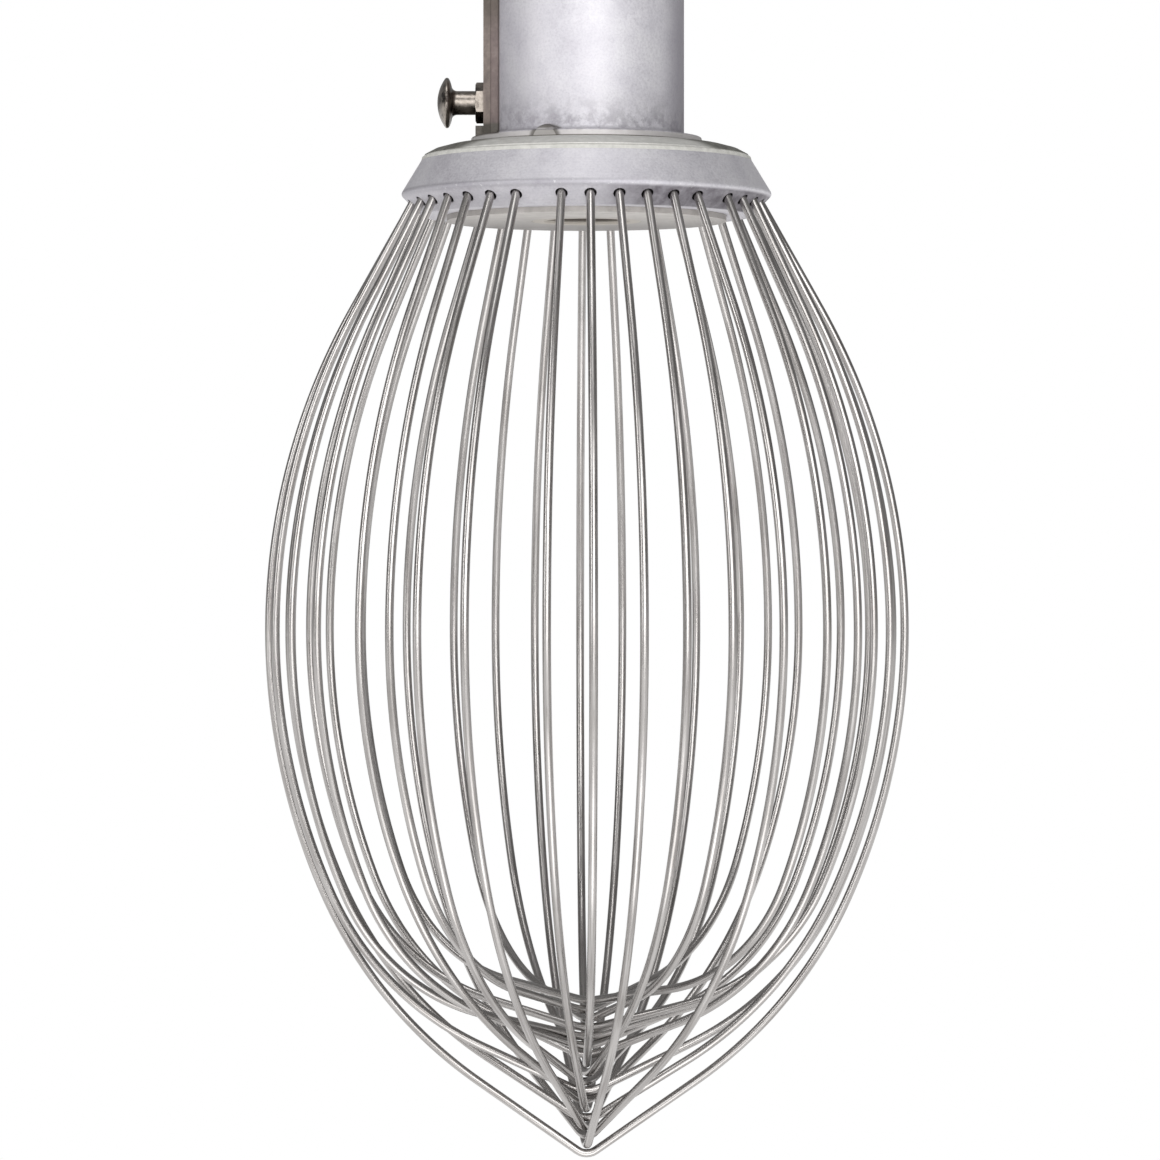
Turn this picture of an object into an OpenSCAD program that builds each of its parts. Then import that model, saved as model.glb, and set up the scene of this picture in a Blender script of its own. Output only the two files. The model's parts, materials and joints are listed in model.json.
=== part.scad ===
// Wire whip for a large planetary mixer, hanging from its shaft socket.
// Millimetres. The origin is on the socket's axis, level with the raised ring
// that the barrel stands on. +Z points up out of the socket, the whip hangs
// towards -Z, and the locking plunger sticks out towards -X.

/* [Barrel] */
// Outer radius of the round barrel
barrel_radius = 46.5; // [44:0.5:50]
// Height of the barrel above the raised ring
barrel_height = 90; // [70:1:110]
// Rounding at the barrel's top edge
barrel_top_round = 2.5; // [1:0.5:4]
// Fillet between the barrel and the raised ring
barrel_fillet = 3; // [1:0.5:4]
// How far the flat pad's face stands out from the barrel
pad_rise = 2.4; // [2:0.1:5]
// Width of the flat pad
pad_width = 40; // [34:1:44]
// Chamfer along both upright edges of the flat pad
pad_chamfer = 3.8; // [2:0.2:5]
// How far the foot lug stands out from the pad
lug_rise = 3.8; // [2:0.1:4.5]
// Width of the foot lug
lug_width = 26; // [18:1:32]
// Height of the foot lug above the raised ring
lug_height = 4.8; // [3:0.2:6]

/* [Shaft socket] */
// Radius of the bore that takes the mixer's shaft
socket_radius = 20; // [17:0.5:21]
// How much smaller the guide bore under the relief groove is, in radius
pilot_step = 0.5; // [0.3:0.1:1.5]
// Depth of the relief groove at the plunger's nose
relief_cut = 1.5; // [1.2:0.1:3]
// Height of the relief groove
relief_height = 14; // [12:0.5:16]
// Width of each groove for the shaft's cross pin
pin_groove_width = 11; // [8:0.5:12]
// How deep each cross-pin groove is cut into the bore's wall
pin_groove_cut = 6; // [4:0.5:8]
// Depth of the cross-pin grooves below the barrel's top
pin_groove_depth = 50; // [35:1:55]

/* [Flange] */
// Width of the raised ring outside the barrel
ring_width = 8.5; // [5:0.5:9]
// Largest radius of the flange
flange_radius = 88.1; // [84:0.1:96]
// Width of the flange's conical side, from its widest edge in to the top edge
flange_flare = 9.3; // [8:0.1:10.5]
// Width of the bevel, from the widest edge in to the flat underside
bevel_width = 9.5; // [8.5:0.1:11]
// Depth of the flange's widest edge below the raised ring
flange_edge_depth = 27; // [25:0.5:28]
// Depth of the flat underside below the raised ring
flange_depth = 37.2; // [36:0.2:40]

/* [Plates] */
// Thickness of the top plate
top_plate_thickness = 1.6; // [1.2:0.1:2]
// Width of the land outside the top plate that carries the sealant
seal_land = 1.6; // [1.2:0.1:2.2]
// Width of the flat land outside the underside plate
foot_land = 11.9; // [10:0.1:18]
// Thickness of the plate in the underside
base_plate_thickness = 4.8; // [4:0.2:7]
// How far the underside plate stands below the flange
base_plate_proud = 2.6; // [1:0.2:3.6]

/* [Wires] */
// Diameter of the wires
wire_diameter = 4; // [3:0.1:4]
// How far the circle of wire holes lies inside the flange's widest edge
hole_inset = 4.7; // [3.8:0.1:6]
// Angle between neighbouring wires of one group
wire_pitch = 9.2; // [8.8:0.1:9.6]
// Depth to which each wire end is seated in the flange
wire_seat = 14; // [10:0.5:16]
// How far the cage bulges out past the flange, to the wire's centre
cage_bulge = 63.4; // [56:0.2:66]
// Depth of the widest part below the raised ring
cage_waist_depth = 235; // [228:1:242]
// Depth of the lowest wire's centre at the tip
cage_depth = 484; // [478:1:492]
// Step between neighbouring wires where they cross on the axis
crossing_step = 4.29; // [4.25:0.01:4.32]

/* [Plunger] */
// Radius of the plunger's head
knob_radius = 12; // [10:0.5:13]
// Radius of the plunger's stem
stem_radius = 5.7; // [5:0.1:6]
// Length of stem that shows between the collar and the head
stem_length = 11.4; // [9:0.2:14]
// Radius of the collar's hexagon, to its corners
collar_radius = 9.8; // [9.4:0.1:10.4]
// Thickness of the collar outside the pad
collar_thickness = 4; // [3:0.2:5]
// Radius of the nose that locks the shaft
nose_radius = 4.5; // [4:0.1:5]
// How far the nose reaches into the socket
nose_reach = 6; // [4:0.5:6.2]
// Height of the plunger's axis above the raised ring
plunger_height = 16.7; // [16.2:0.1:17.2]

/* [Hidden] */
$fn = 72;
wire_radius = wire_diameter / 2;
edge_step = 0.5;

// Cage: three groups of six loops, every loop is one wire with two legs.
group_count = 3;
group_size = 6;
loop_count = group_count * group_size;
// Azimuth of each group's first loop: the third group stands a little closer to the second.
group_start = [-8, 52, 111];
// Place of each loop in the stack on the axis, counted up from the tip.
stack_place = [5, 10, 1, 9, 15, 2, 17, 11, 14, 4, 0, 7, 13, 12, 6, 16, 8, 3];
// How much each hand-bent loop stays inside the cage's full half-width.
waist_short = [21, 7, 8, 16, 14, 6, 11, 8, 9, 6, 0, 3, 4, 7, 16, 15, 7, 10];
hole_clearance = 0.1;
rim_radius = wire_radius + 0.9;
rim_depth = 1.5;
rim_overrun = 3;
upper_share = 0.93;
lower_ratio = 2.05;
lower_turn = 24;
bend_share = 0.45;
tip_round = 7.6;
tip_round_step = 1.62;
joint_bead = 0.02;

// Radii that follow from the flange's, from the outside in.
hole_circle_radius = flange_radius - hole_inset;
cage_radius = flange_radius + cage_bulge;
flange_foot_radius = flange_radius - bevel_width;
flange_top_radius = flange_radius - flange_flare;
top_plate_radius = flange_top_radius - seal_land;
base_plate_radius = flange_foot_radius - foot_land;
ring_radius = barrel_radius + ring_width;

// Flange section. The plate's steps are shares of its width and heights.
bevel_slope = bevel_width / (flange_depth - flange_edge_depth);
hole_mouth_z = -flange_edge_depth - hole_inset / bevel_slope;
edge_round = 0.9;
plate_clearance = 0.2;
plate_bed = 0.1;
plate_span = top_plate_radius - ring_radius;
plate_rise = [[0, -3.2], [0.491 * plate_span, -4.2], [0.797 * plate_span, -6.0]];
plate_rim_z = -8.4;
seal_depth = 1.2;
seal_width = 1.5;
plate_seat_z = plate_rise[0][1] - top_plate_thickness;
seal_floor_z = plate_rim_z - top_plate_thickness - seal_depth;

// Barrel and socket.
pad_reach = barrel_radius + pad_rise;
lug_reach = pad_reach + lug_rise;
lug_depth = 3;
lug_bite = 4;
lug_root = socket_radius + lug_bite;
relief_radius = socket_radius + relief_cut;
pin_groove_reach = socket_radius + pin_groove_cut;
relief_z = plunger_height - relief_height / 2;
groove_floor_z = barrel_height - pin_groove_depth;
mouth_chamfer = 1.5;
foot_chamfer = 1;
pilot_radius = socket_radius - pilot_step;
spigot_radius = socket_radius + 6;
spigot_depth = flange_depth + base_plate_proud;
nose_hole_start = 3;
cut_margin = 1;
lump_x = -18.3;
lump_y = -47.5;
lump_radius = 7;
lump_rise = 2.6;
pit_radius = 1.3;
pit_depth = 1.6;

// Plunger.
running_clearance = 0.05;
pocket_radius = 8;
pocket_wall = 7;
pocket_floor = socket_radius + pocket_wall;
collar_tail = 8;
shoulder_radius = 7.6;
shoulder_thickness = 2.7;
shoulder_gap = 0.3;
nose_taper = 1.2;
knob_thickness = 6.8;
knob_flare = 1.7;
knob_land = 1.1;
knob_dome = knob_thickness - knob_flare - knob_land;
knob_neck = 2.6;
collar_corner_cut = 1;
collar_corner_slope = 30;
spring_wire = 0.55;
spring_turns = 4;
spring_steps = 18;
spring_sides = 8;
spring_end_gap = 0.3;
collar_sides = 6;

// Quarter-circle points about c, from angle a to angle b.
function bend(c, r, a, b, n = 6) =
    [for (k = [0 : n])
        let (t = a + (b - a) * k / n)
        c + r * [cos(t), sin(t)]];

// Front azimuth of a loop, measured from -Y towards +X.
function azimuth(i) = group_start[floor(i / group_size)] + wire_pitch * (i % group_size);

// Half-width of a loop.
function waist(i) = cage_radius - waist_short[i];

// Radius of the arc above the waist, a little tighter than the one arc that would reach the hole.
function upper_radius(w) =
    let (s = w - hole_circle_radius, h = hole_mouth_z + cage_waist_depth)
    upper_share * (s * s + h * h) / (2 * s);

// Angle at which the upper arc meets the straight that runs into the hole.
function upper_angle(w) =
    let (r = upper_radius(w), dx = hole_circle_radius - (w - r), dz = hole_mouth_z + cage_waist_depth)
    atan2(dz, dx) - acos(r / norm([dx, dz]));

// Length of the straight from the upper arc to the hole's mouth.
function upper_straight(w) =
    let (r = upper_radius(w), dx = hole_circle_radius - (w - r), dz = hole_mouth_z + cage_waist_depth)
    sqrt(dx * dx + dz * dz - r * r);

// Where the upper arc ends: distance from the axis and height.
function upper_end(w) =
    let (r = upper_radius(w), a = upper_angle(w))
    [w - r + r * cos(a), -cage_waist_depth + r * sin(a)];

// Round of the wire where it crosses the axis, wider for the loops higher in the stack.
function tip_radius(i) = tip_round + tip_round_step * stack_place[i];

// Drop from the waist to the crossing.
function drop(i) = cage_depth - cage_waist_depth - crossing_step * stack_place[i];

// End of the lower arc: distance from the axis and depth below the waist.
function lower_end(w) = lower_ratio * w * [cos(lower_turn) - 1, sin(lower_turn)] + [w, 0];

// Slope of the straight above the tip.
function tip_slope(i) =
    let (p = lower_end(waist(i)), chord = atan2(p[0], drop(i) - p[1]))
    chord + bend_share * (chord - lower_turn);

// Radius of the shoulder arc and length of the straight below it, so that both meet the tip's round.
function shoulder_and_straight(i) =
    let (p = lower_end(waist(i)), t = tip_slope(i), r = tip_radius(i))
    let (a = cos(lower_turn) - cos(t), b = sin(t), c = sin(t) - sin(lower_turn), d = cos(t))
    let (e = p[0] - r * cos(t), f = drop(i) - r + r * sin(t) - p[1], det = a * d - b * c)
    [(e * d - b * f) / det, (a * f - c * e) / det];

// Points of the spring's helix along its axis, and its tube.
spring_radius = (stem_radius + pocket_radius) / 2;
spring_from = -pad_reach + collar_tail + spring_wire + spring_end_gap;
spring_to = -pocket_floor - shoulder_gap - shoulder_thickness - spring_wire - spring_end_gap;
spring_count = spring_turns * spring_steps;
function spring_ring(k) =
    let (a = 360 * k / spring_steps, x = spring_from + (spring_to - spring_from) * k / spring_count)
    [for (s = [0 : spring_sides - 1])
        let (b = 360 * s / spring_sides, r = spring_radius + spring_wire * cos(b))
        [x + spring_wire * sin(b), r * cos(a), plunger_height + r * sin(a)]];

// Torus piece in the XZ plane: centre, radius, from angle a to angle b.
module arc_piece(c, r, a, b) {
    translate([c[0], 0, c[1]])
        rotate([90, 0, 0])
            rotate([0, 0, a])
                rotate_extrude(angle = b - a, $fn = 96)
                    translate([r, 0])
                        circle(r = wire_radius, $fn = 24);
}

// Straight wire piece in the XZ plane from p, tilted by t from +Z towards +X.
module straight_piece(p, t, length) {
    translate([p[0], 0, p[1]])
        rotate([0, t, 0])
            cylinder(r = wire_radius, h = length, $fn = 24);
}

// Round joint between two wire pieces, a hair proud of both.
module bead(p) {
    translate([p[0], 0, p[1]])
        sphere(r = wire_radius + joint_bead, $fn = 24);
}

// One leg of a loop, in the XZ plane on the +X side.
module leg(i) {
    w = waist(i);
    up = upper_radius(w);
    ua = upper_angle(w);
    ue = upper_end(w);
    low = lower_ratio * w;
    t = tip_slope(i);
    ss = shoulder_and_straight(i);
    turn = lower_end(w);
    knee = [turn[0], -cage_waist_depth - turn[1]];
    centre = knee - ss[0] * [cos(lower_turn), -sin(lower_turn)];
    ankle = centre + ss[0] * [cos(t), -sin(t)];
    tip = ankle - ss[1] * [sin(t), cos(t)];
    straight_piece(ue, -ua, upper_straight(w) + wire_seat);
    bead(ue);
    arc_piece([w - up, -cage_waist_depth], up, 0, ua);
    bead([w, -cage_waist_depth]);
    arc_piece([w - low, -cage_waist_depth], low, -lower_turn, 0);
    bead(knee);
    arc_piece(centre, ss[0], -t, -lower_turn);
    bead(ankle);
    straight_piece(tip, t, ss[1]);
    bead(tip);
}

// One whole loop in its place.
module wire_loop(i) {
    t = tip_slope(i);
    r = tip_radius(i);
    color("silver")
        rotate([0, 0, azimuth(i) - 90])
            union() {
                leg(i);
                mirror([1, 0, 0])
                    leg(i);
                arc_piece([0, r - cage_waist_depth - drop(i)], r, t - 180, -t);
            }
}

// Drilled hole and its wider mouth for one wire end.
module wire_hole(w) {
    t = upper_angle(w);
    translate([hole_circle_radius, 0, hole_mouth_z])
        rotate([0, -t, 0]) {
            translate([0, 0, -rim_overrun])
                cylinder(r = wire_radius + hole_clearance, h = wire_seat + rim_overrun);
            translate([0, 0, -rim_overrun])
                cylinder(r = rim_radius, h = rim_depth + rim_overrun);
        }
}

// The barrel, the raised ring and the flange as one turned body.
module hub_turned() {
    rotate_extrude()
        polygon(concat(
            [[0, -spigot_depth], [spigot_radius, -spigot_depth],
            [spigot_radius, -flange_depth], [flange_foot_radius, -flange_depth]],
            bend([flange_radius - 2 * edge_round, -flange_edge_depth], 2 * edge_round, -45, 30),
            [[flange_top_radius, seal_floor_z],
            [top_plate_radius - seal_width / 2, seal_floor_z],
            [top_plate_radius - seal_width / 2, plate_rim_z - top_plate_thickness - plate_bed],
            [ring_radius + plate_rise[2][0], plate_rise[2][1] - top_plate_thickness - plate_bed],
            [ring_radius + plate_rise[1][0], plate_rise[1][1] - top_plate_thickness - plate_bed],
            [ring_radius, plate_seat_z - plate_bed]],
            bend([ring_radius - edge_round, -edge_round], edge_round, 0, 90),
            bend([barrel_radius + barrel_fillet, barrel_fillet], barrel_fillet, -90, -180),
            bend([barrel_radius - barrel_top_round, barrel_height - barrel_top_round],
                barrel_top_round, 0, 90),
            [[0, barrel_height]]));
}

// Flat pad up the barrel's -X side, with chamfered edges.
module pad() {
    linear_extrude(height = barrel_height - barrel_top_round)
        polygon([[0, -pad_width / 2], [-pad_reach + pad_chamfer, -pad_width / 2],
            [-pad_reach, -pad_width / 2 + pad_chamfer], [-pad_reach, pad_width / 2 - pad_chamfer],
            [-pad_reach + pad_chamfer, pad_width / 2], [0, pad_width / 2]]);
}

// Lump of flash left on the raised ring, up to the ring's edge.
module cast_lump() {
    intersection() {
        translate([lump_x, lump_y, lump_rise - lump_radius])
            sphere(r = lump_radius);
        translate([0, 0, -lug_depth])
            cylinder(r = ring_radius - edge_round, h = lug_depth + lump_rise);
    }
}

module hub_casting() {
    color("lightgray")
        difference() {
            union() {
                hub_turned();
                pad();
                translate([-lug_reach, -lug_width / 2, -lug_depth])
                    cube([lug_reach - lug_root, lug_width, lug_depth + lug_height]);
                cast_lump();
            }
            // Recess for the plate in the underside, round the spigot.
            translate([0, 0, -flange_depth - cut_margin])
                difference() {
                    cylinder(r = base_plate_radius + plate_clearance,
                        h = base_plate_thickness - base_plate_proud + cut_margin);
                    cylinder(r = spigot_radius, h = base_plate_thickness);
                }
            // Shaft bore, guide bore, relief groove, chamfers and cross-pin grooves.
            translate([0, 0, relief_z])
                cylinder(r = socket_radius, h = barrel_height - relief_z + cut_margin);
            translate([0, 0, -spigot_depth - cut_margin])
                cylinder(r = pilot_radius, h = spigot_depth + relief_z + 2 * cut_margin);
            translate([0, 0, -spigot_depth - cut_margin])
                cylinder(r1 = pilot_radius + foot_chamfer + cut_margin, r2 = pilot_radius,
                    h = foot_chamfer + cut_margin);
            translate([0, 0, relief_z])
                cylinder(r = relief_radius, h = relief_height);
            translate([0, 0, barrel_height - mouth_chamfer])
                cylinder(r1 = socket_radius, r2 = socket_radius + mouth_chamfer + cut_margin,
                    h = mouth_chamfer + cut_margin);
            translate([-pin_groove_width / 2, -pin_groove_reach, groove_floor_z])
                cube([pin_groove_width, 2 * pin_groove_reach, pin_groove_depth + cut_margin]);
            // Plunger pocket and nose hole.
            translate([-pocket_floor, 0, plunger_height])
                rotate([0, -90, 0])
                    cylinder(r = pocket_radius, h = lug_reach);
            translate([-socket_radius + nose_hole_start, 0, plunger_height])
                rotate([0, -90, 0])
                    cylinder(r = nose_radius + running_clearance, h = lug_reach);
            // Pit in the cast lump.
            translate([lump_x, lump_y, lump_rise - pit_depth])
                cylinder(r = pit_radius, h = pit_depth + cut_margin);
            for (i = [0 : loop_count - 1], side = [0, 180])
                rotate([0, 0, azimuth(i) - 90 + side])
                    wire_hole(waist(i));
        }
}

module top_plate() {
    color("gainsboro")
        rotate_extrude()
            polygon([[ring_radius + plate_clearance, plate_rise[0][1]],
                [ring_radius + plate_rise[1][0], plate_rise[1][1]],
                [ring_radius + plate_rise[2][0], plate_rise[2][1]],
                [top_plate_radius, plate_rim_z],
                [top_plate_radius, plate_rim_z - edge_step],
                [top_plate_radius - seal_width / 2, plate_rim_z - top_plate_thickness],
                [ring_radius + plate_rise[2][0], plate_rise[2][1] - top_plate_thickness],
                [ring_radius + plate_rise[1][0], plate_rise[1][1] - top_plate_thickness],
                [ring_radius + plate_clearance, plate_seat_z]]);
}

module edge_seal() {
    color("ivory")
        rotate_extrude()
            polygon([[top_plate_radius - seal_width / 2, seal_floor_z],
                [flange_top_radius, seal_floor_z],
                [flange_top_radius - edge_step, plate_rim_z - top_plate_thickness + edge_step],
                [top_plate_radius, plate_rim_z - edge_step],
                [top_plate_radius - seal_width / 2, plate_rim_z - top_plate_thickness]]);
}

module base_plate() {
    color("ivory")
        translate([0, 0, -flange_depth - base_plate_proud])
            difference() {
                cylinder(r = base_plate_radius, h = base_plate_thickness);
                translate([0, 0, -cut_margin])
                    cylinder(r = spigot_radius + plate_clearance, h = base_plate_thickness + 2 * cut_margin);
            }
}

module plunger() {
    knob_back = pad_reach + collar_thickness + stem_length;
    head = knob_back + knob_thickness;
    dome_radius = (knob_radius * knob_radius + knob_dome * knob_dome) / (2 * knob_dome);
    dome_angle = asin(knob_radius / dome_radius);
    shoulder = pocket_floor + shoulder_gap;
    color("gray")
        translate([0, 0, plunger_height])
            rotate([0, -90, 0])
                rotate_extrude()
                    polygon(concat(
                        [[0, socket_radius - nose_reach],
                        [nose_radius - nose_taper, socket_radius - nose_reach],
                        [nose_radius, socket_radius - nose_reach + nose_taper],
                        [nose_radius, shoulder],
                        [shoulder_radius, shoulder],
                        [shoulder_radius, shoulder + shoulder_thickness],
                        [stem_radius, shoulder + shoulder_thickness],
                        [stem_radius, knob_back - knob_neck]],
                        bend([stem_radius + knob_neck, knob_back - knob_neck], knob_neck, 180, 90),
                        [[knob_radius - edge_step, knob_back + knob_flare - edge_step],
                        [knob_radius, knob_back + knob_flare]],
                        bend([0, head - dome_radius], dome_radius, 90 - dome_angle, 90)));
}

module plunger_collar() {
    color("dimgray")
        translate([-pad_reach, 0, plunger_height])
            rotate([0, -90, 0])
                difference() {
                    union() {
                        intersection() {
                            cylinder(r = collar_radius, h = collar_thickness, $fn = collar_sides);
                            cylinder(r1 = collar_radius - collar_corner_cut
                                + collar_thickness / tan(collar_corner_slope),
                                r2 = collar_radius - collar_corner_cut, h = collar_thickness);
                        }
                        translate([0, 0, -collar_tail])
                            cylinder(r = pocket_radius, h = collar_tail + cut_margin);
                    }
                    translate([0, 0, -collar_tail - cut_margin])
                        cylinder(r = stem_radius + running_clearance,
                            h = collar_tail + collar_thickness + 2 * cut_margin);
                }
}

module plunger_spring() {
    color("slategray")
        polyhedron(
            points = [for (k = [0 : spring_count]) each spring_ring(k)],
            faces = concat(
                [[for (s = [0 : spring_sides - 1]) s]],
                [for (k = [0 : spring_count - 1], s = [0 : spring_sides - 1])
                    let (a = k * spring_sides + s, b = k * spring_sides + (s + 1) % spring_sides)
                    [b, a, a + spring_sides]],
                [for (k = [0 : spring_count - 1], s = [0 : spring_sides - 1])
                    let (a = k * spring_sides + s, b = k * spring_sides + (s + 1) % spring_sides)
                    [b, a + spring_sides, b + spring_sides]],
                [[for (s = [spring_sides - 1 : -1 : 0]) spring_count * spring_sides + s]]));
}

module wire_loop_01() {
    wire_loop(0);
}

module wire_loop_02() {
    wire_loop(1);
}

module wire_loop_03() {
    wire_loop(2);
}

module wire_loop_04() {
    wire_loop(3);
}

module wire_loop_05() {
    wire_loop(4);
}

module wire_loop_06() {
    wire_loop(5);
}

module wire_loop_07() {
    wire_loop(6);
}

module wire_loop_08() {
    wire_loop(7);
}

module wire_loop_09() {
    wire_loop(8);
}

module wire_loop_10() {
    wire_loop(9);
}

module wire_loop_11() {
    wire_loop(10);
}

module wire_loop_12() {
    wire_loop(11);
}

module wire_loop_13() {
    wire_loop(12);
}

module wire_loop_14() {
    wire_loop(13);
}

module wire_loop_15() {
    wire_loop(14);
}

module wire_loop_16() {
    wire_loop(15);
}

module wire_loop_17() {
    wire_loop(16);
}

module wire_loop_18() {
    wire_loop(17);
}

hub_casting();
top_plate();
edge_seal();
base_plate();
plunger();
plunger_collar();
plunger_spring();
wire_loop_01();
wire_loop_02();
wire_loop_03();
wire_loop_04();
wire_loop_05();
wire_loop_06();
wire_loop_07();
wire_loop_08();
wire_loop_09();
wire_loop_10();
wire_loop_11();
wire_loop_12();
wire_loop_13();
wire_loop_14();
wire_loop_15();
wire_loop_16();
wire_loop_17();
wire_loop_18();
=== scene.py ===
import json
import math

import bmesh
import bpy
from mathutils import Matrix, Vector

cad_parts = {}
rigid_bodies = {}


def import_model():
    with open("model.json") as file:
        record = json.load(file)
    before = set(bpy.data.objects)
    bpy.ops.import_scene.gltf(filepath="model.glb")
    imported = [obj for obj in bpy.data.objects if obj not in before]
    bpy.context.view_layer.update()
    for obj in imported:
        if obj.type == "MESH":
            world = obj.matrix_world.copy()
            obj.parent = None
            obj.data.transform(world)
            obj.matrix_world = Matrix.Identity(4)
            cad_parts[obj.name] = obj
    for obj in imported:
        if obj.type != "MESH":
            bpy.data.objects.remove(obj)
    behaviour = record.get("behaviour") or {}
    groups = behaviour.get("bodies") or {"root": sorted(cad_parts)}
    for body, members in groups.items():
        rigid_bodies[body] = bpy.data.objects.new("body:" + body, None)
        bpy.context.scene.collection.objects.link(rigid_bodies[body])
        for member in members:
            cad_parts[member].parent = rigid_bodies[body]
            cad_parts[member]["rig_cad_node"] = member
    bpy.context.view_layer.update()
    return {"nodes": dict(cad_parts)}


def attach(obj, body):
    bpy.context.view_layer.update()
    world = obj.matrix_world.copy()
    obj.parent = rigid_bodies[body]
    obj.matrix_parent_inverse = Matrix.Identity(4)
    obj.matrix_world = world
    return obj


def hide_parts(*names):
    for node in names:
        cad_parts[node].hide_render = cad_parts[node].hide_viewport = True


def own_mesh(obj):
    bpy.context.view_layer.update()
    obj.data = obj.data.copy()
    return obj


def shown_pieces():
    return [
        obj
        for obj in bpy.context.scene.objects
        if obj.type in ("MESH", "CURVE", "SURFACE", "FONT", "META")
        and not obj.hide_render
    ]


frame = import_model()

NODES = frame["nodes"]


# Helpers
def srgb(code):
    """Linear colour from an sRGB hex value."""
    parts = [int(code[i:i + 2], 16) / 255 for i in (0, 2, 4)]
    return tuple(p / 12.92 if p <= 0.04045 else ((p + 0.055) / 1.055) ** 2.4 for p in parts) + (1.0,)


def add(tree, kind, place=(0, 0), links=None, stops=(), **settings):
    """A node with its settings, its inputs linked or set, and a colour ramp's stops as (position, hex)."""
    node = tree.nodes.new(kind)
    node.location = place
    for name, value in settings.items():
        setattr(node, name, value)
    for number, (position, code) in enumerate(stops):
        ramp = node.color_ramp.elements
        stop = ramp[number] if number < len(ramp) else ramp.new(position)
        stop.position, stop.color = position, srgb(code)
    for socket, source in (links or {}).items():
        target = node.inputs[socket]
        if isinstance(source, bpy.types.NodeSocket):
            tree.links.new(source, target)
        else:
            target.default_value = source
    return node


def new_material(name):
    """An empty node material with its Principled shader."""
    material = bpy.data.materials.new(name)
    material.use_nodes = True
    tree = material.node_tree
    tree.nodes.clear()
    shader = add(tree, "ShaderNodeBsdfPrincipled", (300, 0))
    out = add(tree, "ShaderNodeOutputMaterial", (600, 0))
    tree.links.new(shader.outputs["BSDF"], out.inputs["Surface"])
    return material, tree, shader


def finish_piece(name, mesh_data, material, body, replaced=()):
    """Puts a finished bmesh into the scene as one piece that rides on its body."""
    mesh = bpy.data.meshes.new(name)
    bmesh.ops.recalc_face_normals(mesh_data, faces=mesh_data.faces)
    mesh_data.to_mesh(mesh)
    mesh_data.free()
    piece = bpy.data.objects.new(name, mesh)
    bpy.context.scene.collection.objects.link(piece)
    mesh.materials.append(material)
    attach(piece, body)
    if replaced:
        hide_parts(*replaced)
    return piece


# Materials
# The casting's sizes that its stains and painted shade keep to, in metres like the Object coordinates.
MM = 0.001
FLANGE_RADIUS = 88.1 * MM
FLANGE_CORNER = -27 * MM
BEVEL_FOOT_RADIUS = 78.6 * MM
BEVEL_FOOT = -37.2 * MM
BEVEL_LEAN = (FLANGE_RADIUS - BEVEL_FOOT_RADIUS) / (FLANGE_CORNER - BEVEL_FOOT)
LUMP_CENTRE = (-18.3 * MM, -47.5 * MM, -4.4 * MM)
PIT_CENTRE = (-18.3 * MM, -47.5 * MM, 1.8 * MM)


def cast_aluminium():
    """Aluminium alloy, sand cast and then tumbled: a matt lilac-grey skin with 10 mm clouds, 1 mm grain,
    dark stains low down, painted shade in corners, holes and the socket and on the barrel's and bevel's
    sides, a brown stain on the pad, and bright chips along the flange's worn corner."""
    material, tree, shader = new_material("tumbled_cast_aluminium")
    place = add(tree, "ShaderNodeTexCoord", (-2400, 0)).outputs["Object"]
    across, along, height = add(tree, "ShaderNodeSeparateXYZ", (-2200, -300), {0: place}).outputs
    flat = add(tree, "ShaderNodeCombineXYZ", (-2200, -500), {0: across, 1: along}).outputs[0]
    reach = add(tree, "ShaderNodeVectorMath", (-2000, -500), {0: flat},
                operation="LENGTH").outputs["Value"]
    patch = add(tree, "ShaderNodeTexNoise", (-2000, -800),
                {"Vector": place, "Scale": 130.0, "Detail": 6.0, "Roughness": 0.7}).outputs["Fac"]

    tone, grain = tumbled_skin(tree, place, height)
    tone = barrel_stains_and_shade(tree, tone, across, height, reach, patch)
    tone = lump_grease(tree, tone, place, height)
    tone = pad_grease(tree, tone, across, height, patch)
    tone = socket_shade(tree, tone, height, reach)
    tone = bevel_shade_and_stains(tree, tone, across, height, reach, patch)
    tone = hole_shade(tree, tone, height, reach)
    tone, chips = corner_shade_and_wear(tree, tone, place, across, height)
    tree.links.new(tone, shader.inputs["Base Color"])

    shader.inputs["Metallic"].default_value = 0.7
    rough = add(tree, "ShaderNodeMapRange", (-950, -300),
                {"Value": grain, "From Min": 0.3, "From Max": 0.7, "To Min": 0.52, "To Max": 0.68})
    tree.links.new(rough.outputs["Result"], shader.inputs["Roughness"])
    hollows = add(tree, "ShaderNodeTexNoise", (-2000, -2700),
                  {"Vector": place, "Scale": 160.0, "Detail": 3.0, "Roughness": 0.5}).outputs["Fac"]
    hollow_share = add(tree, "ShaderNodeMath", (-1350, -2700), {0: hollows, 1: 0.9},
                       operation="MULTIPLY").outputs[0]
    chip_depth = add(tree, "ShaderNodeMath", (-1350, -2600), {0: chips, 1: -0.6},
                     operation="MULTIPLY").outputs[0]
    fine_relief = add(tree, "ShaderNodeMath", (-1150, -2600), {0: grain, 1: chip_depth},
                      operation="ADD").outputs[0]
    relief = add(tree, "ShaderNodeMath", (-950, -2650), {0: hollow_share, 1: fine_relief},
                 operation="ADD").outputs[0]
    bump = add(tree, "ShaderNodeBump", (-100, -300),
               {"Strength": 0.55, "Distance": 0.00016, "Height": relief})
    tree.links.new(bump.outputs["Normal"], shader.inputs["Normal"])
    return material


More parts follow.
